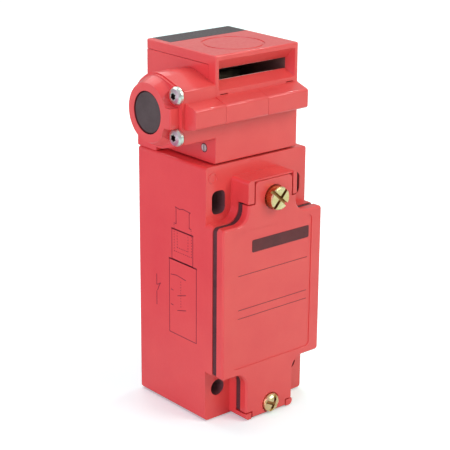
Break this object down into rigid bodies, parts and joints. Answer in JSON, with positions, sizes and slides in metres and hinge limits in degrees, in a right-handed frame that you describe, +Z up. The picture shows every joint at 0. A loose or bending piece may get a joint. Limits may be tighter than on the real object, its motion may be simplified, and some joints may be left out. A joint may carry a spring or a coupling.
{
  "type": "tongue interlock switch",
  "caption": "Guard interlock switch: upright metal body with screwed front cover, square turret head with tongue slots, and a push-button release on a side boss.",
  "frame": {"origin": "centre of the conduit entry's mouth, in the middle of the underside, on the turret's turning axis", "axes": "+Z up from the conduit entry to the head, -Y out of the front cover, +Y into the mounting surface, -X towards the push-button boss"},
  "size_m": [0.052, 0.0439, 0.1141],
  "materials": {
    "red_paint": "satin",
    "black_plug": "matt",
    "button_black": "matt",
    "gasket_rubber": "matt",
    "yellow_zinc_screw": "bright",
    "bright_steel": "bright",
    "spring_steel": "satin",
    "wheel_steel": "satin",
    "bronze": "satin",
    "contact_silver": "bright",
    "block_plastic": "matt",
    "carrier_plastic": "matt"
  },
  "bodies": {
    "casing": {"body_casing": "red_paint", "cover_gasket": "gasket_rubber", "front_cover": "red_paint", "cover_screws": "yellow_zinc_screw", "head_seal": "gasket_rubber", "head_block": "red_paint", "head_hood": "red_paint", "top_slot_plug": "black_plug", "front_bar_left": "red_paint", "front_bar_right": "red_paint", "side_housing": "red_paint", "boss_cap": "red_paint", "boss_cap_screws": "bright_steel", "turret_set_screw": "bright_steel", "head_retaining_clip": "spring_steel", "plunger_bush": "bronze", "button_spring": "spring_steel", "return_springs": "spring_steel", "contact_block": "block_plastic", "fixed_contacts_front": "contact_silver", "fixed_contacts_rear": "contact_silver", "terminal_screws": "bright_steel", "terminal_clamps": "bright_steel", "contact_block_screws": "bright_steel", "earth_screw": "yellow_zinc_screw", "earth_clamp": "bright_steel"},
    "release": {"release_button": "button_black", "release_rod": "bright_steel", "lock_dog": "wheel_steel"},
    "cam": {"cam_wheel": "wheel_steel", "cam_shaft": "bright_steel"},
    "slider": {"plunger": "bright_steel", "contact_carrier": "carrier_plastic", "bridge_contacts": "contact_silver", "bridge_springs": "spring_steel"}
  },
  "joints": [
    {"name": "button_press", "type": "slide", "parent": "casing", "child": "release", "axis": [1, 0, 0], "range_m": [0, 0.003], "stiffness_N_per_m": 500, "springref_m": -0.002, "deforming": ["button_spring"]},
    {"name": "cam_turn", "type": "hinge", "parent": "casing", "child": "cam", "pos_m": [0, 0, 0.0971], "axis": [-1, 0, 0], "range_deg": [0, 60]},
    {"name": "plunger_slide", "type": "slide", "parent": "casing", "child": "slider", "axis": [0, 0, -1], "range_m": [0, 0.003], "stiffness_N_per_m": 400, "springref_m": -0.003, "deforming": ["return_springs"]}
  ],
  "couplings": [
    {"joint": "cam_turn", "follows": "plunger_slide", "rad_per_m": 349.07}
  ]
}
